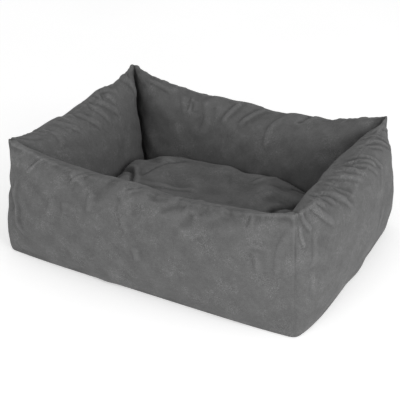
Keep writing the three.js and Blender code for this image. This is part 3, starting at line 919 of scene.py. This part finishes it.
def build_base():
    """The padded base under the cushion: a crinkled lining over a layer of wadding."""
    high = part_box("base_top_lining")[1]
    wadding_low, wadding_top = (corner.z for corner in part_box("base_wadding"))
    outline = soft_rectangle("base_wadding", BASE_CORNER, 8)
    profile = ((0.012, wadding_low), (0.007, wadding_low + 0.003), (0.007, wadding_top - 0.006),
               (0.013, wadding_top - 0.0012))
    wadding = outline_slab("base_wadding_layer", outline, profile, FIBRE)
    place_piece(wadding, "bed_shell", "polyester_fibre", "base_wadding")
    share_x = np.linspace(-1, 1, 151)
    share_y = np.linspace(-1, 1, 101)
    grid_x, grid_y = np.meshgrid(share_x, share_y)
    edge = np.maximum(np.abs(grid_x), np.abs(grid_y))
    round_off = corner_share(grid_x, grid_y, LINING_CORNER_POWER)
    x = grid_x * high.x * round_off
    y = grid_y * high.y * round_off
    flat = np.stack([x, y], -1)
    rise = 0.5 + 0.28 * smooth_noise(flat, 0.11, 51) + 0.18 * smooth_noise(flat, 0.04, 52)
    top = lerp(wadding_top, high.z, np.clip(rise, 0.05, 1))
    top -= LINING_TUCK * smoothstep(0.965, 1, edge) ** 2
    grid = np.stack([x, y, top], -1)
    cut = np.concatenate([flat, np.full(flat.shape[:-1] + (1,), 5.0)], -1)
    # the lining's relief gives painted shade in its hollows and paler ridges, partly rubbed wear and
    # partly painted light
    lining = fabric_sheet("base_lining_canvas", grid, cut, relief_of(grid, full=0.0003), CANVAS, 0.0009)
    place_piece(lining, "bed_shell", "grey_canvas", "base_top_lining")


# ---------------------------------------------------------------- cushion
CUSHION_COLUMNS = 72
CUSHION_ROWS = 48
CUSHION_CORNER_POWER = 5
CROWN_ROOM = 0.005  # how much lower the crown starts than it ends
CEILING = 0.011  # how far over the CAD crown the lobes may stand
CEILING_SOFTNESS = 0.0015
TOP_FULLNESS = 4.2  # exponents of the section curves: higher is squarer
BOTTOM_FULLNESS = 5.0
BACK_OVERHANG = 0.011  # how far the crown reaches back over the zip
COVER_THICKNESS = 0.0012
ZIP_OPENING = 0.0052  # half the height of the slot that the zip shows in
ZIP_GAP_REACH = 0.022  # how far in from the back edge the covers part
ZIP_END_IN, ZIP_END_OUT = 0.001, 0.005  # the slot closes between these, about the end stops
ZIP_STRIP_FACE = ZIP_FACE + COVER_THICKNESS + 0.0002
WALL_CLEARANCE = 0.0015
LIFT_STEPS = (0, 0.015, 0.030, 0.045, 0.060, 0.075)  # the walls bulge beside this part of its way out


def section_shares(count, power):
    """Evenly spaced points of a squared quarter arc, mirrored: across from -1 to 1, and up."""
    angle = np.linspace(0, math.pi / 2, 2000)
    across, up = np.cos(angle) ** (2 / power), np.sin(angle) ** (2 / power)
    # the rise counts for a third, because the piece is much wider than it is high
    run = np.concatenate([[0], np.cumsum(np.hypot(np.diff(across), np.diff(up) / 3))])
    even = np.linspace(-1, 1, count + 1)
    pick = np.interp(1 - np.abs(even), run / run[-1], angle)
    return np.sign(even) * np.cos(pick) ** (2 / power), np.sin(pick) ** (2 / power)


def cushion_half(power, height):
    """One side of the cushion as a grid, columns along +X and rows along +Y. height < 0 goes down."""
    across, up_x = section_shares(CUSHION_COLUMNS, power)
    deep, up_y = section_shares(CUSHION_ROWS, power)
    share_x, share_y = np.meshgrid(across, deep)
    rise = up_x[None, :] * up_y[:, None]
    round_off = corner_share(share_x, share_y, CUSHION_CORNER_POWER)
    middle = (ZIP_STRIP_FACE + CUSHION_FRONT) / 2
    half_depth = (ZIP_STRIP_FACE - CUSHION_FRONT) / 2
    x = CUSHION_HALF_LENGTH * share_x * round_off
    # the back edge stays straight for the zip
    y = middle + half_depth * share_y * lerp(round_off, 1, smoothstep(0.6, 1, share_y))
    overhang = BACK_OVERHANG * np.maximum(share_y, 0) ** 2 * (rise if height > 0 else 0)
    return np.stack([x, y + overhang, SEAM_HEIGHT + height * rise], -1)


def merge_halves(top, bottom):
    """Points and quads of the closed cushion, with the two halves sharing their border."""
    rows, columns = top.shape[:2]
    number = np.arange(rows * columns).reshape(rows, columns)
    border = np.zeros((rows, columns), bool)
    border[[0, -1]] = True
    border[:, [0, -1]] = True
    bottom_number = number.copy()
    bottom_number[~border] = rows * columns + np.arange((~border).sum())
    points = np.concatenate([top.reshape(-1, 3), bottom[~border]])
    quads = grid_faces(rows, columns)
    return points, np.concatenate([quads, bottom_number.ravel()[quads][:, ::-1]]), bottom_number


def keep_clear(points, tree, clearance):
    """Moves points that come too near a closed surface of outward normals back off it."""
    kept = points.copy()
    for index, point in enumerate(points.reshape(-1, 3)):
        place, normal, _, distance = tree.find_nearest(Vector(point), 0.03)
        if place is None:
            continue
        gap = (Vector(point) - place).dot(normal)
        if gap < clearance and distance < 0.03:
            kept.reshape(-1, 3)[index] = np.array(place + normal * clearance)
    return kept


def clear_on_way_out(points, tree):
    """Keeps the cushion clear of the walls where it lies and as it is lifted past their bulge."""
    for lift in LIFT_STEPS:
        raised = np.array([0, 0, lift])
        points = keep_clear(points + raised, tree, WALL_CLEARANCE) - raised
    return points


def inner_wall_tree(surfaces):
    points, faces = [], []
    for grid in surfaces:
        inner = grid[OUTER_ROWS * FINER:]
        faces.append(grid_faces(*inner.shape[:2]) + sum(len(part) for part in points))
        points.append(inner.reshape(-1, 3))
    return BVHTree.FromPolygons(np.concatenate(points).tolist(), np.concatenate(faces).tolist())


def settle_cushion(surfaces):
    """The cushion's two halves, plumped up as slack cloth and tucked between the walls."""
    top = cushion_half(TOP_FULLNESS, CUSHION_TOP - CROWN_ROOM - SEAM_HEIGHT)
    bottom = cushion_half(BOTTOM_FULLNESS, CUSHION_BOTTOM - SEAM_HEIGHT)
    plan = top[..., :2]
    crown = (top[..., 2] - SEAM_HEIGHT) / (CUSHION_TOP - CROWN_ROOM - SEAM_HEIGHT)
    top[..., 2] += crown * (0.0045 * smooth_noise(plan, 0.22, 61) + 0.0035 * smooth_noise(plan, 0.09, 62))
    points, faces, bottom_number = merge_halves(top, bottom)
    cut = points.copy()
    middle = np.array([0, 0, SEAM_HEIGHT])
    cut = middle + (cut - middle) * (1 + CUSHION_SLACK)
    cut[:, 0] += 0.009 * smooth_noise(points, 0.11, 63)
    cut[:, 1] += 0.009 * smooth_noise(points, 0.11, 64)
    goal = np.full(len(points), 0.02)
    goal[points[:, 2] < SEAM_HEIGHT - 0.02] = 0.3
    on_zip = (points[:, 1] > ZIP_STRIP_FACE - 0.004) & (np.abs(points[:, 2] - SEAM_HEIGHT) < 0.012)
    goal[on_zip] = 1
    moved = simulate_cloth("cushion", points, faces, cut, goal, CUSHION_CLOTH)
    points = cap_movement(points, moved, MOST_CUSHION_MOVE)
    points[:, 2] = np.maximum(points[:, 2], CUSHION_BOTTOM)
    points = clear_on_way_out(points, inner_wall_tree(surfaces))
    return points[:top.shape[0] * top.shape[1]].reshape(top.shape), points[bottom_number]


S_CREASE = ((-0.252, 0.004), (-0.232, 0.022), (-0.208, 0.018), (-0.190, -0.004), (-0.166, -0.040),
            (-0.150, -0.080))
# kind of fold, path of (x, y), width, height
CUSHION_FOLDS = (
    (crease_line, S_CREASE, 0.0050, 0.0170),
    (fold, S_CREASE, 0.0100, 0.0065),
    (fold, ((-0.088, 0.130), (-0.128, 0.050), (-0.160, -0.045)), 0.026, 0.0075),
    (fold, ((-0.165, -0.052), (-0.105, -0.045), (-0.050, -0.024), (0.010, -0.020)), 0.010, 0.0036),
    (crease_line, ((0.236, 0.090), (0.206, 0.040), (0.186, -0.030), (0.190, -0.080)), 0.0065, 0.0120),
    (fold, ((0.122, 0.158), (0.112, 0.120), (0.080, 0.080)), 0.009, 0.0034),
    (crease_line, ((0.010, 0.130), (0.036, 0.070), (0.080, -0.010), (0.100, -0.070)), 0.030, 0.0050),
    (fold, ((-0.200, 0.110), (-0.150, 0.085), (-0.110, 0.090)), 0.012, 0.0030),
    (fold, ((0.150, 0.060), (0.130, 0.010), (0.140, -0.040)), 0.014, 0.0028),
)

# middle of a raised lobe (x, y), its radius, and its rise
CUSHION_LOBES = (
    ((-0.222, 0.055), 0.040, 0.0040),
    ((-0.222, -0.020), 0.030, 0.0050),
    ((-0.060, 0.120), 0.080, 0.0040),
    ((-0.020, 0.000), 0.070, -0.0035),
    ((0.140, 0.050), 0.055, 0.0030),
    ((0.215, -0.010), 0.040, 0.0040),
)
GATHER_HEIGHT = 0.0009
PAD_INSET = 0.010  # how much smaller the filling is than its cover at the sides
PAD_COVER_GAP = 0.003  # how far it stays under the cover's hollows


def under_ceiling(heights, ceiling):
    """Eases heights off as they come up to a ceiling."""
    room = (ceiling - heights) / CEILING_SOFTNESS
    return ceiling - CEILING_SOFTNESS * np.logaddexp(0, room)


def pad_surface(grid, side):
    """The coarse surface under a cover, kept below the cover's deepest nearby point."""
    height = grid[..., 2] * side
    padded = np.pad(height, FINER + 1, mode="edge")
    rows, columns = height.shape
    reach = range(2 * FINER + 3)
    deepest = np.min([padded[i:i + rows, j:j + columns] for i in reach for j in reach], axis=0)
    inner = grid.copy()
    inner[..., 2] = np.maximum(deepest - PAD_COVER_GAP, SEAM_HEIGHT * side) * side
    inner[[0, -1], :, 2] = SEAM_HEIGHT
    inner[:, [0, -1], 2] = SEAM_HEIGHT
    return inner[::FINER, ::FINER]


def zip_gap(grid, side):
    """Parts a half's back edge from the seam along the zip."""
    opening = 1 - smoothstep(ZIP_HALF - ZIP_END_IN, ZIP_HALF + ZIP_END_OUT, np.abs(grid[..., 0]))
    from_back = np.linalg.norm(grid[-1:] - grid, axis=-1)
    near = 1 - smoothstep(0, ZIP_GAP_REACH, from_back)
    moved = grid.copy()
    moved[..., 2] += side * ZIP_OPENING * opening * near
    return moved


def cushion_gathers(flat_x, flat_y, half_x, half_y, seed):
    """Small gathers that run in from the cushion's border seam."""
    edge_x, edge_y = half_x - np.abs(flat_x), half_y - np.abs(flat_y)
    off = np.minimum(edge_x, edge_y)
    run = np.where(edge_x < edge_y, flat_y, flat_x)
    rng = np.random.default_rng(seed)
    total = np.zeros_like(off)
    for wave in (0.019, 0.031, 0.052):
        total += np.sin(2 * np.pi * run / wave + rng.uniform(0, 6.28) + 2 * np.sin(run / 0.05))
    return GATHER_HEIGHT * total * np.exp(-(off / 0.03) ** 2)


def build_cushion(surfaces):
    halves = settle_cushion(surfaces)
    tree = inner_wall_tree(surfaces)
    covers, inner_halves = [], []
    for name, side, half, node in (("cushion_top_canvas", 1, halves[0], "cushion_cover_top"),
                                   ("cushion_bottom_canvas", -1, halves[1], "cushion_cover_bottom")):
        grid = refine(half, FINER)
        flat = grid[..., :2].copy()
        columns = np.linspace(-1, 1, grid.shape[1]) * 1.2 * CUSHION_HALF_LENGTH
        rows = np.linspace(-1, 1, grid.shape[0]) * 1.25 * -CUSHION_FRONT
        cut_x, cut_y = np.meshgrid(columns, rows)
        height = cushion_gathers(cut_x, cut_y, columns[-1], rows[-1], 71 + side)
        if side > 0:
            for kind, path, width, size in CUSHION_FOLDS:
                height += kind(flat, path, width, size)
        border = np.minimum(columns[-1] - np.abs(cut_x), rows[-1] - np.abs(cut_y))
        if side > 0:
            for centre, reach, rise in CUSHION_LOBES:
                height += rise * np.exp(-(np.linalg.norm(flat - centre, axis=-1) / reach) ** 2)
        height *= smoothstep(0, 0.006, border)
        grid = grid + grid_normals(grid) * height[..., None]
        grid = clear_on_way_out(grid, tree)
        grid[..., 2] = np.maximum(under_ceiling(grid[..., 2], CUSHION_TOP + CEILING), CUSHION_BOTTOM)
        inner_halves.append(pad_surface(grid, side))
        grid = zip_gap(grid, side)
        # painted shade in the cover's hollows and paler ridges, partly rubbed wear and partly painted
        # light
        wear_and_shade = relief_of(grid) * side
        if side < 0:
            grid, wear_and_shade, cut_x, cut_y = (part[:, ::-1] for part in (grid, wear_and_shade, cut_x, cut_y))
        cut = np.stack([cut_x, cut_y, np.full_like(cut_x, 7.0 + side)], -1)
        cover = fabric_sheet(name, grid, cut, wear_and_shade, SHADED_CUSHION_CANVAS, COVER_THICKNESS)
        place_piece(cover, "cushion", "grey_canvas", node)
        covers.append(cover)
    points, faces, _ = merge_halves(*inner_halves)
    middle = np.array([0, (ZIP_FACE + CUSHION_FRONT) / 2, SEAM_HEIGHT])
    half_sizes = np.array([CUSHION_HALF_LENGTH, (ZIP_FACE - CUSHION_FRONT) / 2,
                           (CUSHION_TOP - CUSHION_BOTTOM) / 2])
    small = middle + (points - middle) * (1 - (PAD_INSET, PAD_INSET, 0) / half_sizes)
    pad = make_piece("cushion_filling", small, faces, FIBRE)
    place_piece(pad, "cushion", "polyester_fibre", "cushion_inner_pad")
    return covers


# ---------------------------------------------------------------- zip
def tube(path, radius, sides):
    """Rings of points round a path, and the quads between them with closed ends."""
    path = np.asarray(path, float)
    ahead = np.gradient(path, axis=0)
    ahead /= np.linalg.norm(ahead, axis=1, keepdims=True)
    side = np.cross(ahead, [0.0, 0.0, 1.0])
    weak = np.linalg.norm(side, axis=1) < 0.2
    side[weak] = np.cross(ahead[weak], [0.0, 1.0, 0.0])
    side /= np.linalg.norm(side, axis=1, keepdims=True)
    up = np.cross(side, ahead)
    angles = np.arange(sides) * 2 * math.pi / sides
    rings = path[:, None] + radius * (np.cos(angles)[None, :, None] * side[:, None]
                                      + np.sin(angles)[None, :, None] * up[:, None])
    return rings.reshape(-1, 3), capped_faces(len(path), sides)


COIL_PITCH = 0.00135
COIL_WIRE = 0.00029
COIL_REACH = 0.0004  # each row reaches into the slot, short of the slider's web between the rows
COIL_STEPS = 10


def build_coils():
    """Each side's nylon coil: a flattened spiral over its CAD bar, reaching a little into the slot."""
    for row, turn, phase in (("upper", 1, 0), ("lower", -1, math.pi)):
        low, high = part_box(f"zip_coil_{row}")
        if row == "upper":
            low.z -= COIL_REACH
        else:
            high.z += COIL_REACH
        middle = (low + high) / 2
        reach_y = (high.y - low.y) / 2 - COIL_WIRE
        reach_z = (high.z - low.z) / 2 - COIL_WIRE
        turns = (high.x - low.x) / COIL_PITCH
        step = np.arange(int(turns * COIL_STEPS))
        # the phase puts the two rows' near points half a pitch apart
        angle = turn * step * 2 * math.pi / COIL_STEPS + phase
        x = low.x + COIL_WIRE + step * COIL_PITCH / COIL_STEPS * (1 - 2 * COIL_WIRE / (high.x - low.x))
        path = np.column_stack([x, middle.y + reach_y * np.cos(angle), middle.z + reach_z * np.sin(angle)])
        coil = make_piece(f"zip_{row}_coil_spiral", *tube(path, COIL_WIRE, 5), COIL)
        place_piece(coil, "cushion", "zip_coil", f"zip_coil_{row}")


STITCH = 0.0024
STITCH_GAP = 0.0011
STITCH_RADIUS = 0.00028


def build_zip_stitches(covers):
    """A row of stitches along each edge of the zip, sewn through cover and tape."""
    for cover, side, name in ((covers[0], 1, "upper"), (covers[1], -1, "lower")):
        mesh = cover.data
        tree = BVHTree.FromPolygons([v.co for v in mesh.vertices], [p.vertices[:] for p in mesh.polygons])
        points, faces = [], []
        height = SEAM_HEIGHT + side * (ZIP_OPENING + 0.0022)
        start = -ZIP_HALF
        while start < ZIP_HALF - STITCH:
            path = []
            for share in (0, 0.5, 1):
                origin = Vector((start + share * STITCH, 1, height))
                hit, _, _, _ = tree.ray_cast(origin, Vector((0, -1, 0)))
                if hit is not None:
                    path.append(hit + Vector((0, 0.0001 - 0.0002 * abs(2 * share - 1), 0)))
            if len(path) == 3:
                rings, quads = tube(path, STITCH_RADIUS, 6)
                faces += [[index + len(points) for index in quad] for quad in quads]
                points += rings.tolist()
            start += STITCH + STITCH_GAP
        row = make_piece(f"zip_{name}_stitches", points, faces, THREAD)
        place_piece(row, "cushion", "grey_canvas")


def finish_cad_nodes():
    finishes = {"zip_tape_upper": TAPE, "zip_tape_lower": TAPE, "zip_top_stop": METAL,
                "zip_bottom_stop": METAL, "zip_slider": METAL, "zip_pull_tab": METAL}
    for name, material in finishes.items():
        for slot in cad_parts[name].material_slots:
            slot.material = material


# ---------------------------------------------------------------- stage
def build_camera():
    length = 2 * HALF_LENGTH
    target = Vector((0.047 * length, -0.104 * length, 0.1925 * length))
    azimuth, elevation = math.radians(28.5), math.radians(28.9)
    back = Vector((math.sin(azimuth) * math.cos(elevation), -math.cos(azimuth) * math.cos(elevation),
                   math.sin(elevation)))
    camera = bpy.data.objects.new("camera", bpy.data.cameras.new("camera"))
    camera.data.lens = 87.4
    camera.location = target + back * 3.03 * length
    camera.rotation_euler = (-back).to_track_quat("-Z", "Y").to_euler()
    bpy.context.scene.collection.objects.link(camera)
    bpy.context.scene.camera = camera


def build_floor():
    f = Finish("pale_floor")
    f.grey(f.ramp(f.noise(f.place(), 1.5, 2), 0.3, 0.7, 0.90, 0.92))
    f.set(Roughness=0.9, Specular_IOR_Level=0.1, Emission_Color=(1, 1, 1, 1),
          Emission_Strength=FLOOR_GLOW)
    size = 60.0
    corners = [(-size, -size, 0), (size, -size, 0), (size, size, 0), (-size, size, 0)]
    floor = make_piece("floor", corners, [(0, 1, 2, 3)], f.material, smooth=False)
    floor.location.z = -0.0002


# name, place, aim, size, watts
LIGHTS = (
    ("right_softbox", (2.4, -1.0, 1.2), (0, 0, 0.1), 1.8, 30),
    ("front_softbox", (0.3, -2.8, 0.9), (0, 0, 0.1), 1.8, 17),
)
WORLD_STRENGTH = 0.66
FLOOR_GLOW = 0.34  # the floor is a lit table, so the shadows under the bed stay pale


def build_lights():
    for name, place, aim, size, watts in LIGHTS:
        light = bpy.data.lights.new(name, "AREA")
        light.size = size
        light.energy = watts
        lamp = bpy.data.objects.new(name, light)
        lamp.location = place
        lamp.rotation_euler = (Vector(aim) - Vector(place)).to_track_quat("-Z", "Y").to_euler()
        bpy.context.scene.collection.objects.link(lamp)
    world = bpy.data.worlds.new("studio")
    world.use_nodes = True
    background = world.node_tree.nodes["Background"]
    background.inputs["Color"].default_value = (1, 1, 1, 1)
    background.inputs["Strength"].default_value = WORLD_STRENGTH
    bpy.context.scene.world = world
    bpy.context.scene.view_settings.view_transform = "Standard"


build_camera()
wall_surfaces = build_walls()
build_underside(wall_surfaces)
build_base()
cushion_covers = build_cushion(wall_surfaces)
build_coils()
build_zip_stitches(cushion_covers)
finish_cad_nodes()
build_floor()
build_lights()
